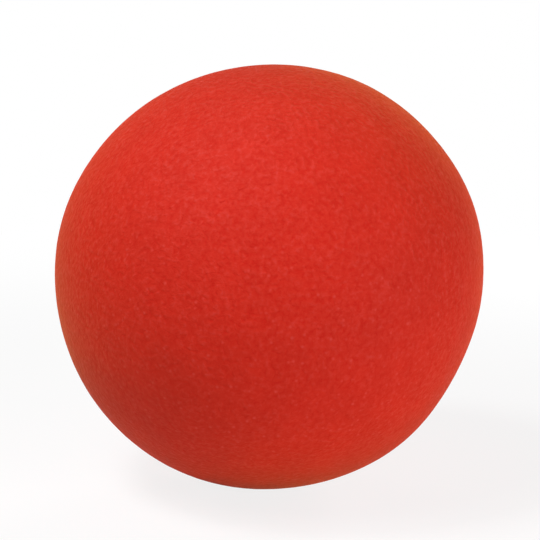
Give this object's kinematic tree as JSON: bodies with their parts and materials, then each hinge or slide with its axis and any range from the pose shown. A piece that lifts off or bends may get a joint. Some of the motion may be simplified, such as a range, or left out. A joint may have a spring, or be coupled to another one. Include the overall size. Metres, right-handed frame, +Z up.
{
  "type": "dodgeball",
  "caption": "Soft round dodgeball for throwing and catching: a foam core sealed in a thin, seamless, matt red skin with a fine pebble grain.",
  "frame": {"origin": "centre of the ball", "axes": "+Z up; the ball is round, so +X and +Y are free choices, with -Y towards the viewer of the picture"},
  "size_m": [0.2095, 0.2094, 0.2096],
  "materials": {
    "foam": "matte",
    "skin": "matte"
  },
  "bodies": {
    "root": {"foam_core": "foam", "skin": "skin"}
  },
  "joints": []
}
